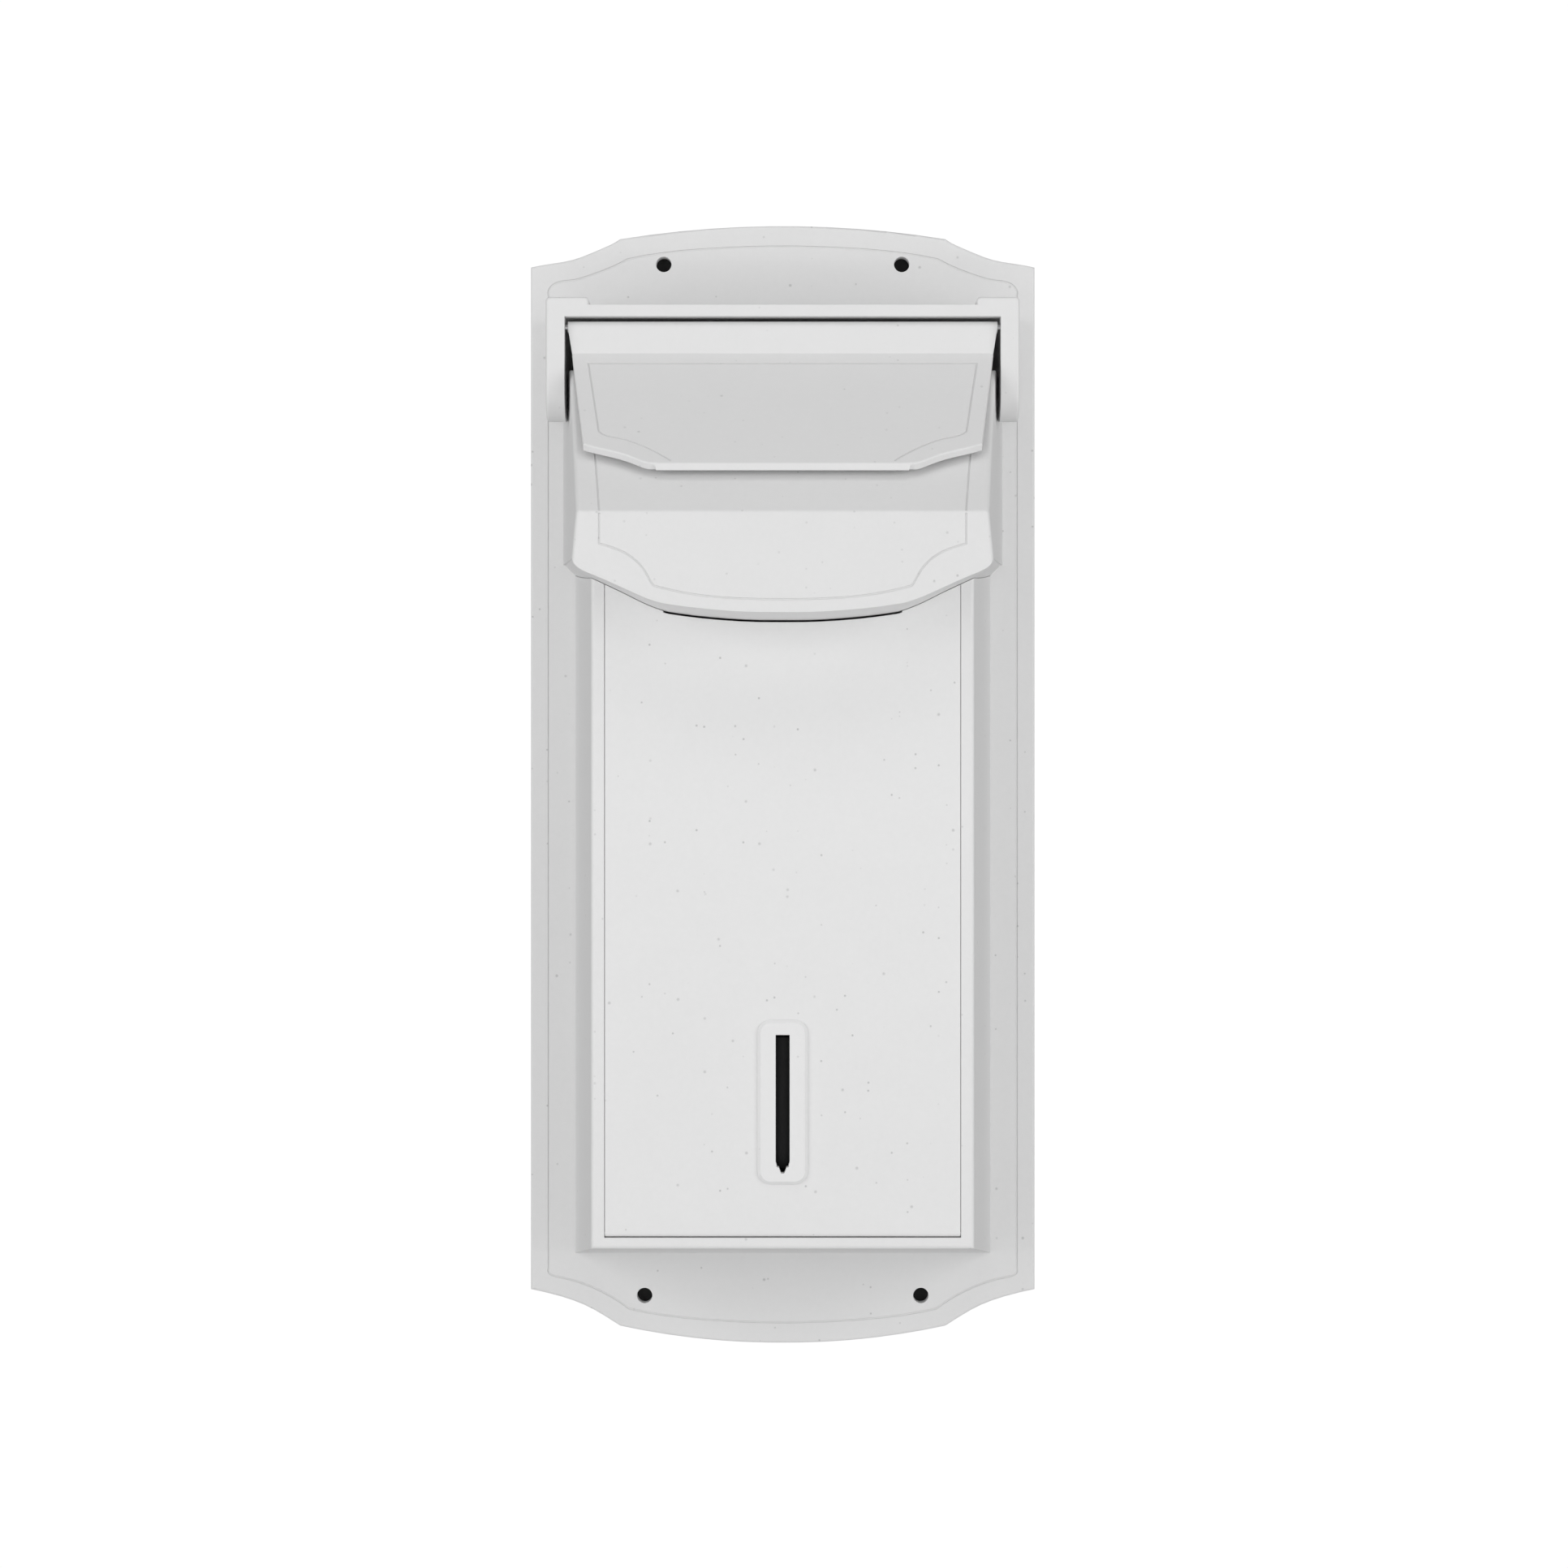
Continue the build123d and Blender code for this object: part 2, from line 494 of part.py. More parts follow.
# ---- deposit chute ------------------------------------------------------
with BuildPart() as deposit_chute:
    with BuildSketch(Plane.YZ.offset(-76)):
        with BuildLine():
            Polyline((-232, 178.0), (-178.6, 124.6), (-178.6, 120.4), (-232, 173.8), close=True)
        make_face()
    extrude(amount=152)
deposit_chute.part.label = "deposit_chute"
export_step(deposit_chute.part, "parts/deposit_chute.step")

# ---- front door ---------------------------------------------------------
# The parting gap above the door is wider in the middle, as a finger hold.
with BuildPart() as finger_relief:
    with Locations((0, -body_front, 150)):
        Box(2 * 80.4, 40, 140)
    add(OVER_DOOR, mode=Mode.INTERSECT)

with BuildPart() as front_door:
    with BuildSketch(Plane.XZ.offset(body_front - door_t)):
        with Locations((0, (door_axis_z + 200) / 2)):
            Rectangle(2 * 115.9, 200 - door_axis_z)
    extrude(amount=door_t)
    with BuildSketch(Plane.XZ.offset(body_front - door_lip_t)):
        with Locations((0, (door_axis_z + 200) / 2)):
            Rectangle(2 * door_half_w, 200 - door_axis_z)
    extrude(amount=door_lip_t)
    with BuildSketch(Plane.YZ.offset(-door_half_w)):
        with Locations((-door_axis_d, door_axis_z)):
            Circle(door_bead_r)
    extrude(amount=2 * door_half_w)
    add(OVER_BODY, mode=Mode.SUBTRACT)
    add(finger_relief.part, mode=Mode.SUBTRACT)
    # pads that the dispenser box is screwed to
    with BuildSketch(Plane.XZ.offset(body_front - door_t)):
        with Locations(*PADS):
            RectangleRounded(12, 12, 2)
    extrude(amount=-5.0)
    with BuildSketch(Plane.XZ.offset(body_front - door_t - 5.0)):
        with Locations(*PADS):
            Circle(1.55)
    extrude(amount=6.2, mode=Mode.SUBTRACT)
    # window for the slot's sleeve, and the bezel's screws
    with BuildSketch(Plane.XZ.offset(body_front - door_t - 1)):
        with Locations((0, (slot_top + notch_bot) / 2)):
            Rectangle(14.0, slot_top - notch_bot + 4.6)
        with Locations(*BEZEL_SCREWS):
            Circle(1.3)
    extrude(amount=door_t + 2, mode=Mode.SUBTRACT)
    # pilot holes for the strike plates
    with BuildSketch(Plane.XZ.offset(body_front - door_t)):
        with Locations(*STRIKE_SCREWS):
            Circle(1.05)
    extrude(amount=2.2, mode=Mode.SUBTRACT)
    # pivot holes in the bead's ends
    with BuildSketch(Plane.YZ.offset(door_half_w)):
        with Locations((-door_axis_d, door_axis_z)):
            Circle(door_pin_r + 0.06)
    extrude(amount=-9.0, mode=Mode.SUBTRACT)
    with BuildSketch(Plane.YZ.offset(-door_half_w)):
        with Locations((-door_axis_d, door_axis_z)):
            Circle(door_pin_r + 0.06)
    extrude(amount=9.0, mode=Mode.SUBTRACT)
front_door.part.label = "front_door"
export_step(front_door.part, "parts/front_door.step")

with BuildPart() as door_hinge_pins:
    for x, way in ((door_half_w + 6.4, -15.0), (-door_half_w - 6.4, 15.0)):
        with BuildSketch(Plane.YZ.offset(x)):
            with Locations((-door_axis_d, door_axis_z)):
                Circle(door_pin_r)
        extrude(amount=way)
door_hinge_pins.part.label = "door_hinge_pins"
export_step(door_hinge_pins.part, "parts/door_hinge_pins.step")

# ---- bag slot bezel -----------------------------------------------------
with BuildPart() as bag_slot_bezel:
    with BuildSketch(Plane.XZ.offset(body_front)):
        with Locations((0, slot_z)):
            RectangleRounded(boss_w, boss_h, 9.0)
    extrude(amount=boss_t)
    chamfer(bag_slot_bezel.faces().sort_by(Axis.Y)[0].edges(), length=2.0)
    with BuildSketch(Plane.XZ.offset(body_front)):
        with Locations((0, (slot_top + notch_bot) / 2)):
            Rectangle(13.4, slot_top - notch_bot + 4.0)
    extrude(amount=-8.0)
    with BuildSketch(Plane.XZ.offset(body_front - 9)):
        with BuildLine():
            Polyline((-slot_half, slot_top), (slot_half, slot_top), (slot_half, slot_bot + 3.0), (4.0, slot_bot + 1.0), (4.2, slot_bot), (2.4, slot_bot - 0.6),
                     (2.2, slot_bot - 1.8), (1.0, notch_bot), (-1.0, notch_bot), (-2.2, slot_bot - 1.8), (-2.4, slot_bot - 0.6), (-4.2, slot_bot), (-4.0, slot_bot + 1.0),
                     (-slot_half, slot_bot + 3.0), close=True)
        make_face()
    extrude(amount=13.0, mode=Mode.SUBTRACT)
    with BuildSketch(Plane.XZ.offset(body_front)):
        with Locations(*BEZEL_SCREWS):
            Circle(1.05)
    extrude(amount=2.2, mode=Mode.SUBTRACT)
bag_slot_bezel.part.label = "bag_slot_bezel"
export_step(bag_slot_bezel.part, "parts/bag_slot_bezel.step")


def screws(places, seat, shank, head_t, head_radius, radius, towards_front=True):
    """Round-headed screws along Y: the head's flat seat is at depth seat, the shank runs on by shank."""
    sign = 1.0 if towards_front else -1.0
    with BuildPart() as group:
        with BuildSketch(Plane.XZ.offset(seat)):
            with Locations(*places):
                Circle(head_radius)
        extrude(amount=-sign * head_t)
        rims = group.faces().sort_by(Axis.Y)[-len(places):] if towards_front else group.faces().sort_by(Axis.Y)[:len(places)]
        fillet(rims.edges(), radius=head_t * 0.45)
        with BuildSketch(Plane.XZ.offset(seat - sign * head_t)):
            with Locations(*places):
                Rectangle(head_radius * 1.3, head_t * 0.45)
        extrude(amount=sign * head_t * 0.45, mode=Mode.SUBTRACT)
        with BuildSketch(Plane.XZ.offset(seat)):
            with Locations(*places):
                Circle(radius)
        extrude(amount=sign * shank)
    return group.part


def save(part, label):
    part.label = label
    export_step(part, f"parts/{label}.step")


save(screws(BEZEL_SCREWS, body_front - door_t, 5.0, 1.6, 2.3, 1.0), "bezel_screws")
save(screws(HOUSING, plate_t - plate_skin, 30.0, 2.6, 4.2, screw_r), "housing_screws")
save(screws(BRACKET_SCREWS, plate_t - plate_skin, 10.0, 2.6, 4.2, screw_r), "shelf_bracket_screws")
save(screws(PADS, body_front - door_t - 7.5, 7.6, 1.8, 2.8, 1.5), "dispenser_screws")
save(screws(CATCH_SCREWS, body_front - 19.0, 17.2, 1.8, 2.4, 1.25), "catch_screws")
save(screws(STRIKE_SCREWS, body_front - door_t - 1.4, 3.4, 1.1, 2.1, 1.0), "strike_screws")

# ---- bag dispenser, carried by the door ---------------------------------
with BuildPart() as dispenser_box:
    with BuildSketch(Plane.XY.offset(box_z0)):
        with Locations((0, -(box_back + box_front) / 2)):
            Rectangle(2 * box_w, box_front - box_back)
    extrude(amount=box_z1 - box_z0)
    fillet(dispenser_box.edges().filter_by(Axis.Z).filter_by(lambda e: e.center().Y > -box_back - 1), radius=6.0)
    with BuildSketch(Plane.XY.offset(box_z0 + box_t)):
        with Locations((0, -(box_back + box_t + box_front + 4) / 2)):
            Rectangle(2 * (box_w - box_t), box_front + 4 - box_back - box_t)
    extrude(amount=200, mode=Mode.SUBTRACT)
    with BuildSketch(Plane.XZ.offset(body_front - door_t - 7.5)):
        with Locations(*[(42.5 if x > 0 else -42.5, z) for x, z in PADS]):
            Rectangle(15, 14)
        with Locations(*PADS):
            Circle(1.6, mode=Mode.SUBTRACT)
    extrude(amount=2.5)
    with BuildSketch(Plane.XY.offset(box_z0 - 1)):
        with Locations((0, -roll_d)):
            Circle(5.05)
    extrude(amount=box_t + 2, mode=Mode.SUBTRACT)
dispenser_box.part.label = "dispenser_box"
export_step(dispenser_box.part, "parts/dispenser_box.step")

with BuildPart() as roll_spindle:
    with BuildSketch(Plane.XY.offset(box_z0)):
        with Locations((0, -roll_d)):
            Circle(5.0)
    extrude(amount=box_t + 1.0)
    with BuildSketch(Plane.XY.offset(box_z0 + box_t)):
        with Locations((0, -roll_d)):
            Circle(15.0)
    extrude(amount=2.0)
    with BuildSketch(Plane.XY.offset(box_z0 + box_t)):
        with Locations((0, -roll_d)):
            Circle(spindle_r)
    extrude(amount=spindle_z1 - box_z0 - box_t)
    with BuildSketch(Plane.XY.offset(spindle_z1)):
        with Locations((0, -roll_d)):
            Circle(3.05)
    extrude(amount=-8.0, mode=Mode.SUBTRACT)
roll_spindle.part.label = "roll_spindle"
export_step(roll_spindle.part, "parts/roll_spindle.step")

with BuildPart() as spindle_cap:
    with BuildSketch(Plane.XY.offset(spindle_z1)):
        with Locations((0, -roll_d)):
            Circle(12.0)
    extrude(amount=3.0)
    fillet(spindle_cap.faces().sort_by(Axis.Z)[-1].edges(), radius=1.2)
    with BuildSketch(Plane.XY.offset(spindle_z1)):
        with Locations((0, -roll_d)):
            Circle(3.0)
    extrude(amount=-7.0)
spindle_cap.part.label = "spindle_cap"
export_step(spindle_cap.part, "parts/spindle_cap.step")

with BuildPart() as roll_core:
    with BuildSketch(Plane.XY.offset(core_z0)):
        with Locations((0, -roll_d)):
            Circle(core_ro)
            Circle(core_ri, mode=Mode.SUBTRACT)
    extrude(amount=core_z1 - core_z0)
roll_core.part.label = "roll_core"
export_step(roll_core.part, "parts/roll_core.step")

with BuildPart() as bag_roll:
    with BuildSketch(Plane.XY.offset(roll_z0)):
        with Locations((0, -roll_d)):
            Circle(roll_r)
            Circle(core_ro + 0.05, mode=Mode.SUBTRACT)
    extrude(amount=roll_z1 - roll_z0)
    fillet(bag_roll.edges().filter_by(GeomType.CIRCLE).filter_by(lambda e: e.radius > roll_r - 1), radius=1.5)
bag_roll.part.label = "bag_roll"
export_step(bag_roll.part, "parts/bag_roll.step")

# ---- shelf and inner bin ------------------------------------------------
with BuildPart() as divider_shelf:
    with BuildSketch(Plane.XY.offset(shelf_z)):
        with Locations((0, -(12.3 + 150.0) / 2)):
            Rectangle(2 * 122.0, 150.0 - 12.3)
    extrude(amount=shelf_t)
    fillet(divider_shelf.edges().filter_by(Axis.Z), radius=6.0)
    with BuildSketch(Plane.XY.offset(shelf_z)):
        with Locations((-85, -40), (85, -40), (-85, -100), (85, -100)):
            Circle(1.8)
    extrude(amount=shelf_t, mode=Mode.SUBTRACT)
    with BuildSketch(Plane.XY.offset(shelf_z + shelf_t - 1.6)):
        with Locations((-85, -40), (85, -40), (-85, -100), (85, -100)):
            Circle(3.4)
    extrude(amount=1.6, mode=Mode.SUBTRACT)
divider_shelf.part.label = "divider_shelf"
export_step(divider_shelf.part, "parts/divider_shelf.step")

with BuildPart() as shelf_brackets:
    for x in (-80.0, 80.0):
        with BuildSketch(Plane.YZ.offset(x - 10)):
            with BuildLine():
                Polyline((-plate_t, shelf_z), (-plate_t, -210), (-plate_t - 3, -210), (-plate_t - 3, shelf_z - 3), (-118, shelf_z - 3), (-118, shelf_z), close=True)
            make_face()
        extrude(amount=20)
        with BuildSketch(Plane.YZ.offset(x - 1.5)):
            with BuildLine():
                Polyline((-plate_t - 2, shelf_z - 2), (-plate_t - 2, -204), (-110, shelf_z - 2), close=True)
            make_face()
        extrude(amount=3)
    with BuildSketch(Plane.XZ.offset(plate_t)):
        with Locations(*BRACKET_SCREWS):
            Circle(pilot_r)
    extrude(amount=3.0, mode=Mode.SUBTRACT)
    with BuildSketch(Plane.XY.offset(shelf_z)):
        with Locations((-85, -40), (85, -40), (-85, -100), (85, -100)):
            Circle(1.55)
    extrude(amount=-3.0, mode=Mode.SUBTRACT)
shelf_brackets.part.label = "shelf_brackets"
export_step(shelf_brackets.part, "parts/shelf_brackets.step")

with BuildPart() as shelf_screws:
    with BuildSketch(Plane.XY.offset(shelf_z + shelf_t - 1.6)):
        with Locations((-85, -40), (85, -40), (-85, -100), (85, -100)):
            Circle(3.1)
    extrude(amount=1.4)
    with BuildSketch(Plane.XY.offset(shelf_z + shelf_t - 1.6)):
        with Locations((-85, -40), (85, -40), (-85, -100), (85, -100)):
            Circle(1.5)
    extrude(amount=-8.0)
    with BuildSketch(Plane.XY.offset(shelf_z + shelf_t - 0.2)):
        with Locations((-85, -40), (85, -40), (-85, -100), (85, -100)):
            Rectangle(4.0, 0.8)
    extrude(amount=-0.7, mode=Mode.SUBTRACT)
shelf_screws.part.label = "shelf_screws"
export_step(shelf_screws.part, "parts/shelf_screws.step")

with BuildPart() as inner_bin:
    with BuildSketch(Plane.XY.offset(bin_z0)):
        with Locations((0, -95)):
            RectangleRounded(200, 128, 12)
    with BuildSketch(Plane.XY.offset(bin_z1)):
        with Locations((0, -95)):
            RectangleRounded(222, 144, 14)
    loft(ruled=True)
    fillet(inner_bin.faces().sort_by(Axis.Z)[0].edges(), radius=3.0)
    with BuildSketch(Plane.XY.offset(bin_z1 - 3.0)):
        with Locations((0, -95)):
            RectangleRounded(230, 152, 16)
    extrude(amount=3.0)
    with BuildSketch(Plane.XY.offset(bin_z0 + bin_t)):
        with Locations((0, -95)):
            RectangleRounded(200 - 2 * bin_t, 128 - 2 * bin_t, 10)
    with BuildSketch(Plane.XY.offset(bin_z1 + 1.0)):
        with Locations((0, -95)):
            RectangleRounded(222 - 2 * bin_t, 144 - 2 * bin_t, 12)
    loft(ruled=True, mode=Mode.SUBTRACT)
inner_bin.part.label = "inner_bin"
export_step(inner_bin.part, "parts/inner_bin.step")

# ---- magnetic catches ---------------------------------------------------
with BuildPart() as magnetic_catches:
    with BuildSketch(Plane.XZ.offset(body_front - 19.0)):
        with Locations((-113.3, 106.0), (113.3, 106.0)):
            Rectangle(24.6, 16.0)
        with Locations(*CATCH_SCREWS):
            Circle(1.35, mode=Mode.SUBTRACT)
    extrude(amount=14.0)
    fillet(magnetic_catches.edges().filter_by(Axis.Y).filter_by(GeomType.LINE), radius=1.5)
magnetic_catches.part.label = "magnetic_catches"
export_step(magnetic_catches.part, "parts/magnetic_catches.step")

with BuildPart() as strike_plates:
    with BuildSketch(Plane.XZ.offset(body_front - door_t - 1.4)):
        with Locations((-107.8, 106.0), (107.8, 106.0)):
            RectangleRounded(13.6, 28.0, 1.5)
        with Locations(*STRIKE_SCREWS):
            Circle(1.1, mode=Mode.SUBTRACT)
    extrude(amount=1.4)
strike_plates.part.label = "strike_plates"
export_step(strike_plates.part, "parts/strike_plates.step")
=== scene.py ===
import math

import bmesh
import bpy
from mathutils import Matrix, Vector

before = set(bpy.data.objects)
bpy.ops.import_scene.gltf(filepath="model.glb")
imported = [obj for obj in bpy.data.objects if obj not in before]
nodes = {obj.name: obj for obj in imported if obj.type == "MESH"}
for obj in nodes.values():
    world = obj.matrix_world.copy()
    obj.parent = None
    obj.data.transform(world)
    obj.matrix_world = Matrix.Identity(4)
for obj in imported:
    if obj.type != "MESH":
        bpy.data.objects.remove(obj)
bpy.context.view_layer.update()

scene = bpy.context.scene

# ---- camera -------------------------------------------------------------
# Straight on, level with the middle of the plate.
cam_data = bpy.data.cameras.new("view")
cam_data.sensor_width = 36.0
cam_data.sensor_fit = "HORIZONTAL"
cam_data.lens = 89.76
cam_data.clip_start, cam_data.clip_end = 0.1, 50.0
cam = bpy.data.objects.new("view", cam_data)
cam.location = (0.0009, -2.812, 0.0003)
cam.rotation_euler = (math.radians(90), 0, 0)
scene.collection.objects.link(cam)
scene.camera = cam

scene.view_settings.view_transform = "Standard"
scene.view_settings.look = "None"


# ---- material helpers ---------------------------------------------------
def new_material(name):
    m = bpy.data.materials.new(name)
    m.use_nodes = True
    m.node_tree.nodes.clear()
    return m, m.node_tree.nodes, m.node_tree.links


def ramp(n, stops):
    r = n.new("ShaderNodeValToRGB")
    e = r.color_ramp.elements
    while len(e) > 1:
        e.remove(e[-1])
    e[0].position, e[0].color = stops[0]
    for p, c in stops[1:]:
        x = e.new(p)
        x.color = c
    return r


def grey(v):
    return (v, v, v, 1.0)


def moulded(name, base, rough=0.5, mottle=0.03, speck=0.5, grain=0.00012, seed=0.0, tint=(1.0, 1.0, 1.0), specular=0.35, edge=0.0005):
    """Moulded plastic: fine leather-like grain, faint mottling, sparse dark pits and softened edges."""
    m, n, l = new_material(name)
    out = n.new("ShaderNodeOutputMaterial")
    bsdf = n.new("ShaderNodeBsdfPrincipled")
    l.new(bsdf.outputs[0], out.inputs[0])
    geo = n.new("ShaderNodeTexCoord")
    shift = n.new("ShaderNodeMapping")
    shift.inputs["Location"].default_value = (seed, seed * 0.37, seed * 0.71)
    l.new(geo.outputs["Object"], shift.inputs[0])
    p = shift.outputs[0]

    def noise(scale, detail=3.0, rough_=0.5):
        t = n.new("ShaderNodeTexNoise")
        t.inputs["Scale"].default_value = scale
        t.inputs["Detail"].default_value = detail
        t.inputs["Roughness"].default_value = rough_
        l.new(p, t.inputs["Vector"])
        return t.outputs["Fac"]

    def maths(op, a, b=None, clamp=False):
        t = n.new("ShaderNodeMath")
        t.operation = op
        t.use_clamp = clamp
        for i, v in enumerate((a, b)):
            if v is None:
                continue
            if isinstance(v, (int, float)):
                t.inputs[i].default_value = v
            else:
                l.new(v, t.inputs[i])
        return t.outputs[0]

    # broad mottling and fine grain of the colour
    broad = noise(9.0, 4.0, 0.6)
    fine = noise(260.0, 3.0, 0.6)
    cloud = noise(42.0, 5.0, 0.65)
    c = maths("MULTIPLY", maths("SUBTRACT", broad, 0.5), mottle)
    c = maths("ADD", c, maths("MULTIPLY", maths("SUBTRACT", cloud, 0.5), mottle * 1.1))
    c = maths("ADD", c, maths("MULTIPLY", maths("SUBTRACT", fine, 0.5), mottle * 1.5))

    # dark pits: small cells, most of them switched off by each cell's random value
    def pits(scale, size, threshold, depth):
        v = n.new("ShaderNodeTexVoronoi")
        v.inputs["Scale"].default_value = scale
        l.new(p, v.inputs["Vector"])
        dist = v.outputs["Distance"]
        spot = n.new("ShaderNodeMapRange")
        spot.inputs["From Min"].default_value = size
        spot.inputs["From Max"].default_value = size * 0.35
        spot.inputs["To Min"].default_value = 0.0
        spot.inputs["To Max"].default_value = 1.0
        l.new(dist, spot.inputs["Value"])
        sep = n.new("ShaderNodeSeparateColor")
        l.new(v.outputs["Color"], sep.inputs[0])
        on = maths("GREATER_THAN", sep.outputs[0], threshold)
        weight = maths("MULTIPLY", maths("ADD", maths("MULTIPLY", sep.outputs[1], 0.65), 0.35), depth)
        return maths("MULTIPLY", maths("MULTIPLY", spot.outputs[0], on), weight)

    spots = maths("ADD", pits(190.0, 0.19, 0.925, 0.62 * speck), pits(62.0, 0.080, 0.93, 0.9 * speck))
    spots = maths("ADD", spots, pits(108.0, 0.15, 0.91, 0.70 * speck), True)
    value = maths("SUBTRACT", maths("ADD", c, base), maths("MULTIPLY", spots, base))
    mix = n.new("ShaderNodeCombineColor")
    for i, k in enumerate(tint):
        l.new(maths("MULTIPLY", value, k, True), mix.inputs[i])
    l.new(mix.outputs[0], bsdf.inputs["Base Color"])
    l.new(maths("ADD", maths("MULTIPLY", maths("SUBTRACT", cloud, 0.5), 0.16), rough, True), bsdf.inputs["Roughness"])
    bsdf.inputs["Specular IOR Level"].default_value = specular

    height = maths("ADD", maths("MULTIPLY", noise(900.0, 2.0, 0.55), 0.5), maths("MULTIPLY", noise(150.0, 3.0, 0.5), 0.6))
    height = maths("SUBTRACT", height, maths("MULTIPLY", spots, 1.6))
    soft = n.new("ShaderNodeBevel")
    soft.samples = 4
    soft.inputs["Radius"].default_value = edge
    bump = n.new("ShaderNodeBump")
    bump.inputs["Strength"].default_value = 0.35
    bump.inputs["Distance"].default_value = grain
    l.new(height, bump.inputs["Height"])
    l.new(soft.outputs[0], bump.inputs["Normal"])
    l.new(bump.outputs[0], bsdf.inputs["Normal"])
    return m


def metal(name, base, rough, stretch, seed=0.0):
    """Plated or ground steel: brushed grain, cloudy plating and small dull marks."""
    m, n, l = new_material(name)
    out = n.new("ShaderNodeOutputMaterial")
    bsdf = n.new("ShaderNodeBsdfPrincipled")
    l.new(bsdf.outputs[0], out.inputs[0])
    bsdf.inputs["Metallic"].default_value = 1.0
    geo = n.new("ShaderNodeTexCoord")
    shift = n.new("ShaderNodeMapping")
    shift.inputs["Scale"].default_value = stretch
    shift.inputs["Location"].default_value = (seed, seed, seed)
    l.new(geo.outputs["Object"], shift.inputs[0])
    grain = n.new("ShaderNodeTexNoise")
    grain.inputs["Scale"].default_value = 400.0
    grain.inputs["Detail"].default_value = 4.0
    l.new(shift.outputs[0], grain.inputs["Vector"])
    cloud = n.new("ShaderNodeTexNoise")
    cloud.inputs["Scale"].default_value = 60.0
    cloud.inputs["Detail"].default_value = 5.0
    l.new(geo.outputs["Object"], cloud.inputs["Vector"])
    tone = ramp(n, [(0.3, tuple(x * 0.78 for x in base) + (1,)), (0.7, tuple(min(1, x * 1.12) for x in base) + (1,))])
    l.new(cloud.outputs["Fac"], tone.inputs[0])
    l.new(tone.outputs[0], bsdf.inputs["Base Color"])
    r = n.new("ShaderNodeMapRange")
    r.inputs["To Min"].default_value = rough - 0.08
    r.inputs["To Max"].default_value = rough + 0.14
    l.new(grain.outputs["Fac"], r.inputs["Value"])
    l.new(r.outputs[0], bsdf.inputs["Roughness"])
    soft = n.new("ShaderNodeBevel")
    soft.samples = 4
    soft.inputs["Radius"].default_value = 0.0002
    bump = n.new("ShaderNodeBump")
    bump.inputs["Strength"].default_value = 0.25
    bump.inputs["Distance"].default_value = 0.00005
    l.new(grain.outputs["Fac"], bump.inputs["Height"])
    l.new(soft.outputs[0], bump.inputs["Normal"])
    l.new(bump.outputs[0], bsdf.inputs["Normal"])
    return m


def wound(name, base, rough, pitch, coat=0.0):
    """Rolled film or wound board: fine turns seen on the ends, soft creases on the side."""
    m, n, l = new_material(name)
    out = n.new("ShaderNodeOutputMaterial")
    bsdf = n.new("ShaderNodeBsdfPrincipled")
    l.new(bsdf.outputs[0], out.inputs[0])
    geo = n.new("ShaderNodeTexCoord")
    place = n.new("ShaderNodeMapping")
    place.inputs["Location"].default_value = (0.0, 0.136, 0.0)
    l.new(geo.outputs["Object"], place.inputs[0])
    rings = n.new("ShaderNodeTexWave")
    rings.wave_type = "RINGS"
    rings.rings_direction = "Z"
    rings.inputs["Scale"].default_value = pitch
    rings.inputs["Distortion"].default_value = 1.4
    rings.inputs["Detail"].default_value = 3.0
    l.new(place.outputs[0], rings.inputs["Vector"])
    crease = n.new("ShaderNodeTexNoise")
    crease.inputs["Scale"].default_value = 55.0
    crease.inputs["Detail"].default_value = 6.0
    l.new(place.outputs[0], crease.inputs["Vector"])
    tone = ramp(n, [(0.2, tuple(x * 0.7 for x in base) + (1,)), (0.8, tuple(min(1, x * 1.35) for x in base) + (1,))])
    mix = n.new("ShaderNodeMath")
    mix.operation = "MULTIPLY_ADD"
    mix.inputs[1].default_value = 0.5
    l.new(rings.outputs["Fac"], mix.inputs[0])
    half = n.new("ShaderNodeMath")
    half.operation = "MULTIPLY"
    half.inputs[1].default_value = 0.5
    l.new(crease.outputs["Fac"], half.inputs[0])
    l.new(half.outputs[0], mix.inputs[2])
    l.new(mix.outputs[0], tone.inputs[0])
    l.new(tone.outputs[0], bsdf.inputs["Base Color"])
    r = n.new("ShaderNodeMapRange")
    r.inputs["To Min"].default_value = rough - 0.1
    r.inputs["To Max"].default_value = rough + 0.15
    l.new(crease.outputs["Fac"], r.inputs["Value"])
    l.new(r.outputs[0], bsdf.inputs["Roughness"])
    bump = n.new("ShaderNodeBump")
    bump.inputs["Strength"].default_value = 0.5
    bump.inputs["Distance"].default_value = 0.0003
    l.new(mix.outputs[0], bump.inputs["Height"])
    l.new(bump.outputs[0], bsdf.inputs["Normal"])
    return m


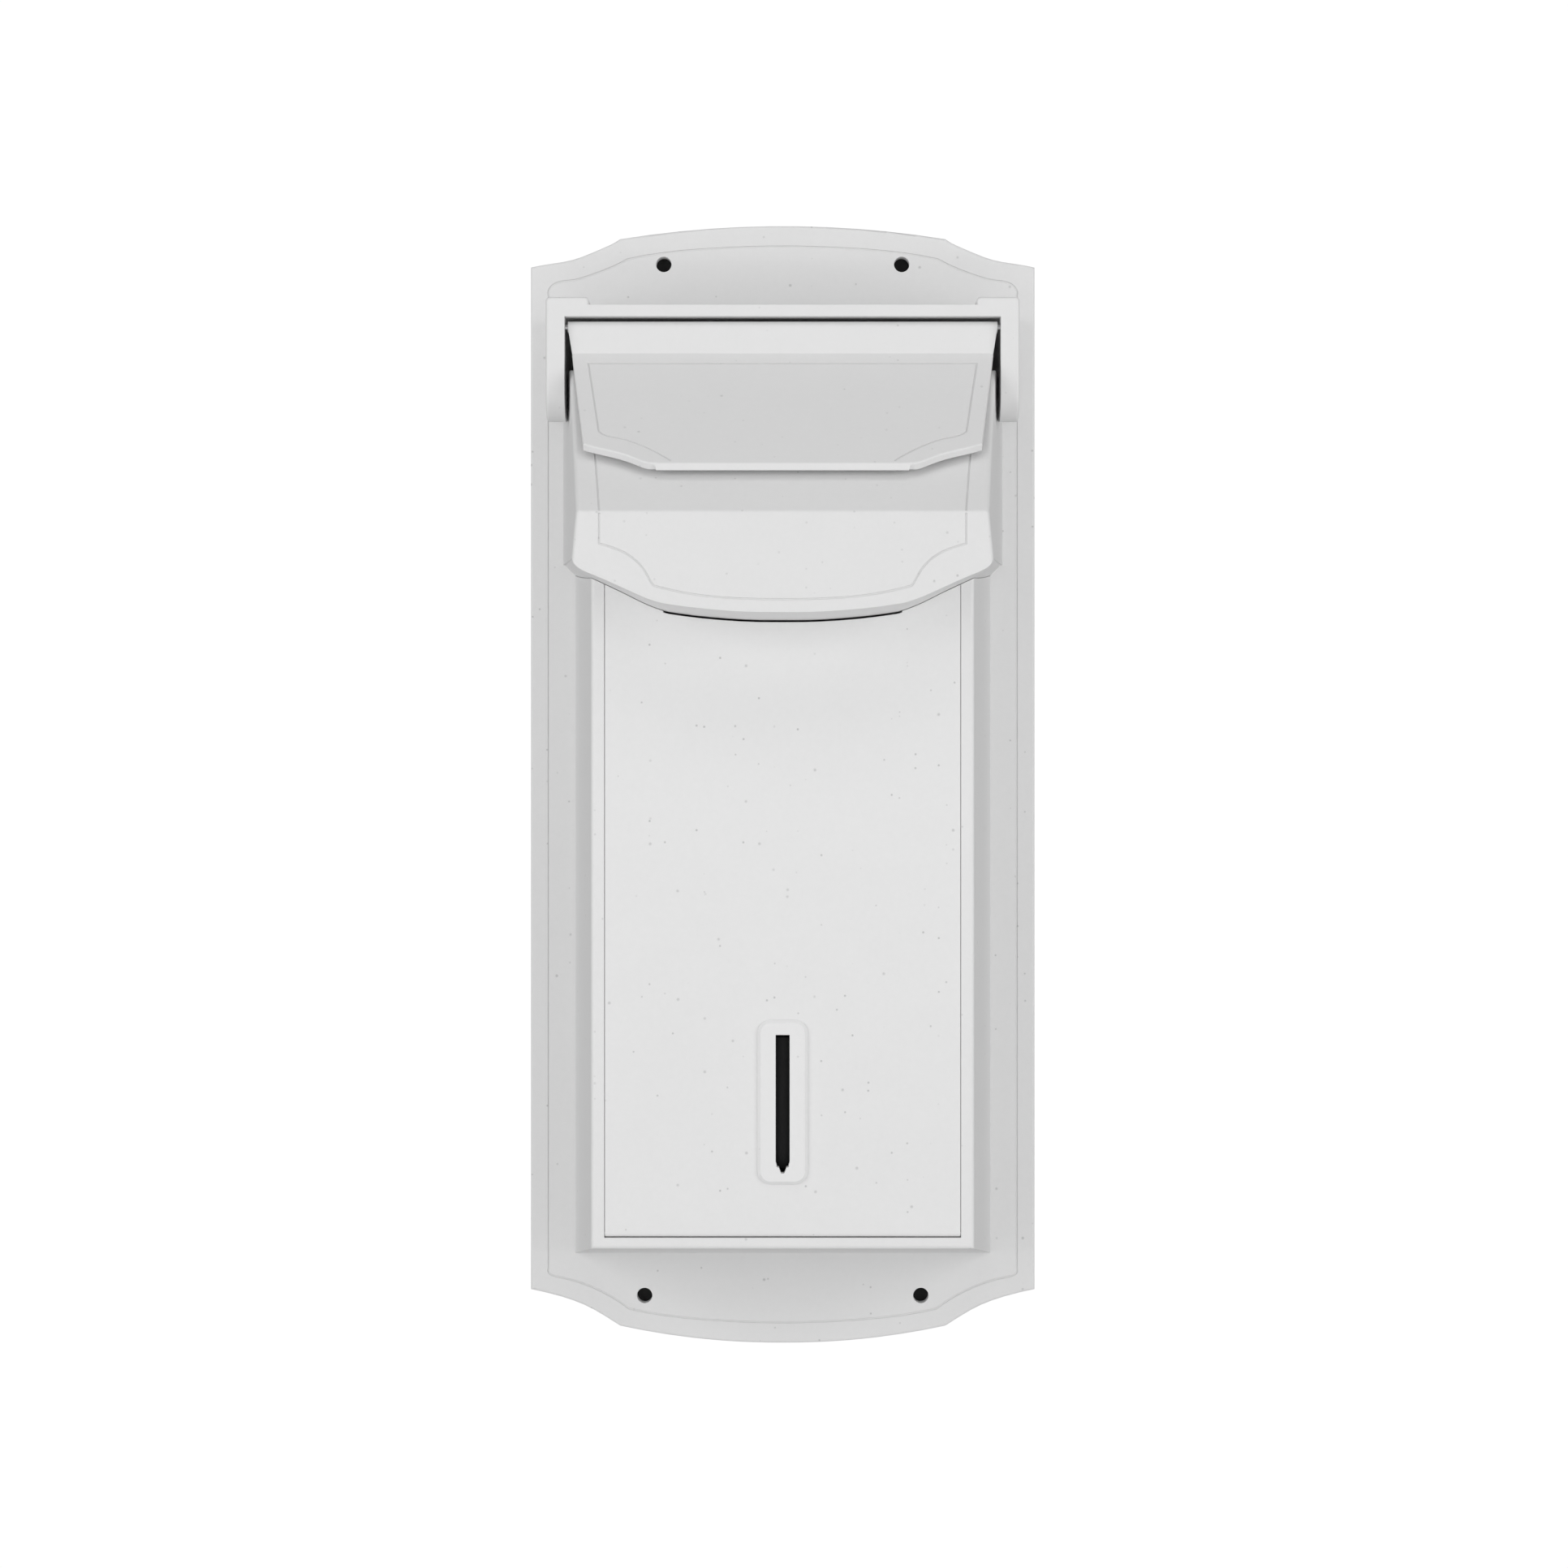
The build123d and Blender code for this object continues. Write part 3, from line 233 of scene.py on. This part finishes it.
WHITE = 0.80
materials = {
    "back_plate": moulded("plate_plastic", 0.832, 0.52, 0.018, 0.50, seed=0.3),
    "body_shell": moulded("shell_plastic", 0.825, 0.50, 0.018, 0.45, seed=1.7),
    "hood": moulded("hood_plastic", WHITE, 0.50, 0.018, 0.45, seed=2.9),
    "rain_canopy": moulded("canopy_plastic", WHITE, 0.46, 0.014, 0.25, seed=4.1),
    "deposit_flap": moulded("flap_plastic", WHITE, 0.48, 0.014, 0.35, seed=5.3),
    "front_door": moulded("door_plastic", 0.832, 0.52, 0.020, 0.62, seed=6.7),
    "bag_slot_bezel": moulded("bezel_plastic", 0.845, 0.48, 0.014, 0.4, seed=7.9),
    "inner_bin": moulded("bin_plastic", 0.045, 0.55, 0.012, 0.2, seed=8.3, tint=(1.0, 1.03, 1.06)),
    "divider_shelf": moulded("shelf_plastic", 0.20, 0.6, 0.02, 0.3, seed=9.1),
    "deposit_chute": moulded("chute_plastic", 0.22, 0.5, 0.02, 0.3, seed=10.3),
    "dispenser_box": moulded("dispenser_plastic", 0.05, 0.6, 0.012, 0.2, seed=11.9, tint=(1.0, 1.0, 1.03)),
    "roll_spindle": moulded("spindle_plastic", 0.30, 0.42, 0.02, 0.2, seed=12.7),
    "spindle_cap": moulded("cap_plastic", 0.12, 0.42, 0.02, 0.2, seed=13.1, tint=(1.0, 0.5, 0.25)),
    "flap_bushes": moulded("nylon", 0.62, 0.4, 0.02, 0.15, seed=14.3, tint=(1.0, 0.98, 0.9)),
    "flap_bumpers": moulded("rubber", 0.022, 0.8, 0.008, 0.1, seed=15.7, grain=0.0002),
    "magnetic_catches": moulded("catch_plastic", 0.14, 0.5, 0.02, 0.2, seed=16.9, tint=(1.0, 0.62, 0.4)),
    "bag_roll": wound("bag_film", (0.005, 0.005, 0.006), 0.55, 420.0),
    "roll_core": wound("core_board", (0.36, 0.25, 0.15), 0.85, 900.0),
    "flap_pivot_pins": metal("ground_steel", (0.55, 0.55, 0.56), 0.28, (0.2, 1.0, 1.0), 0.4),
    "door_hinge_pins": metal("ground_steel_b", (0.55, 0.55, 0.56), 0.28, (0.2, 1.0, 1.0), 1.4),
}
zinc = metal("zinc_plate", (0.60, 0.61, 0.60), 0.36, (1.0, 0.3, 1.0), 2.4)
for node, obj in nodes.items():
    mat = materials.get(node, zinc)
    obj.data.materials.clear()
    obj.data.materials.append(mat)
    for poly in obj.data.polygons:
        poly.material_index = 0


# ---- stage and light ----------------------------------------------------
def stage_material():
    m, n, l = new_material("stage_paper")
    out = n.new("ShaderNodeOutputMaterial")
    bsdf = n.new("ShaderNodeBsdfPrincipled")
    l.new(bsdf.outputs[0], out.inputs[0])
    bsdf.inputs["Base Color"].default_value = (0.90, 0.90, 0.90, 1)
    bsdf.inputs["Roughness"].default_value = 0.9
    return m


floor_mesh = bpy.data.meshes.new("floor")
floor_mesh.from_pydata([(-3, -3.4, -0.66), (3, -3.4, -0.66), (3, 0.12, -0.66), (-3, 0.12, -0.66)], [], [(0, 1, 2, 3)])
floor = bpy.data.objects.new("floor", floor_mesh)
floor_mesh.materials.append(stage_material())
scene.collection.objects.link(floor)

world = bpy.data.worlds.new("studio")
scene.world = world
world.use_nodes = True
wn, wl = world.node_tree.nodes, world.node_tree.links
wn.clear()
w_out = wn.new("ShaderNodeOutputWorld")
w_seen = wn.new("ShaderNodeBackground")
w_seen.inputs["Color"].default_value = (1, 1, 1, 1)
w_seen.inputs["Strength"].default_value = 1.02
w_lit = wn.new("ShaderNodeBackground")
w_lit.inputs["Color"].default_value = (1, 1, 1, 1)
w_lit.inputs["Strength"].default_value = 0.34
w_mix = wn.new("ShaderNodeMixShader")
w_path = wn.new("ShaderNodeLightPath")
wl.new(w_path.outputs["Is Camera Ray"], w_mix.inputs[0])
wl.new(w_lit.outputs[0], w_mix.inputs[1])
wl.new(w_seen.outputs[0], w_mix.inputs[2])
wl.new(w_mix.outputs[0], w_out.inputs[0])


def softbox(name, place, target, size, power):
    data = bpy.data.lights.new(name, "AREA")
    data.shape = "RECTANGLE"
    data.size, data.size_y = size
    data.energy = power
    obj = bpy.data.objects.new(name, data)
    obj.location = place
    obj.rotation_euler = (Vector(target) - Vector(place)).to_track_quat("-Z", "Y").to_euler()
    scene.collection.objects.link(obj)
    return obj


softbox("left_soft", (-1.72, -1.80, 0.28), (0, -0.05, 0.0), (1.4, 1.4), 16.6)
softbox("right_soft", (1.72, -1.80, 0.28), (0, -0.05, 0.0), (1.4, 1.4), 16.6)
softbox("low_soft", (0.0, -2.3, -0.52), (0, 0.0, -0.35), (2.2, 0.25), 3.5)
softbox("top_soft", (0.0, -0.95, 1.35), (0, 0.0, 0.35), (1.8, 0.5), 3.4)


# Near-black discs behind the fixing holes: painted shade standing in for the shadowed wall seen through them.
def hole_shade():
    m, n, l = new_material("painted_hole_shade")
    out = n.new("ShaderNodeOutputMaterial")
    bsdf = n.new("ShaderNodeBsdfPrincipled")
    l.new(bsdf.outputs[0], out.inputs[0])
    # near-black base colour: painted shade for the fixing holes
    bsdf.inputs["Base Color"].default_value = (0.02, 0.02, 0.02, 1)
    bsdf.inputs["Roughness"].default_value = 0.9
    return m


shade = hole_shade()
for k, (x, z) in enumerate(((0.0852, 0.3724), (-0.0852, 0.3724), (0.0989, -0.366), (-0.0989, -0.366))):
    disc_mesh = bpy.data.meshes.new(f"painted_shade_disc_{k}")
    ring = [(x + 0.009 * math.cos(2 * math.pi * i / 32), 0.001, z + 0.009 * math.sin(2 * math.pi * i / 32)) for i in range(32)]
    disc_mesh.from_pydata(ring, [], [tuple(range(32))])
    disc_mesh.materials.append(shade)
    disc = bpy.data.objects.new(f"painted_shade_disc_{k}", disc_mesh)
    scene.collection.objects.link(disc)
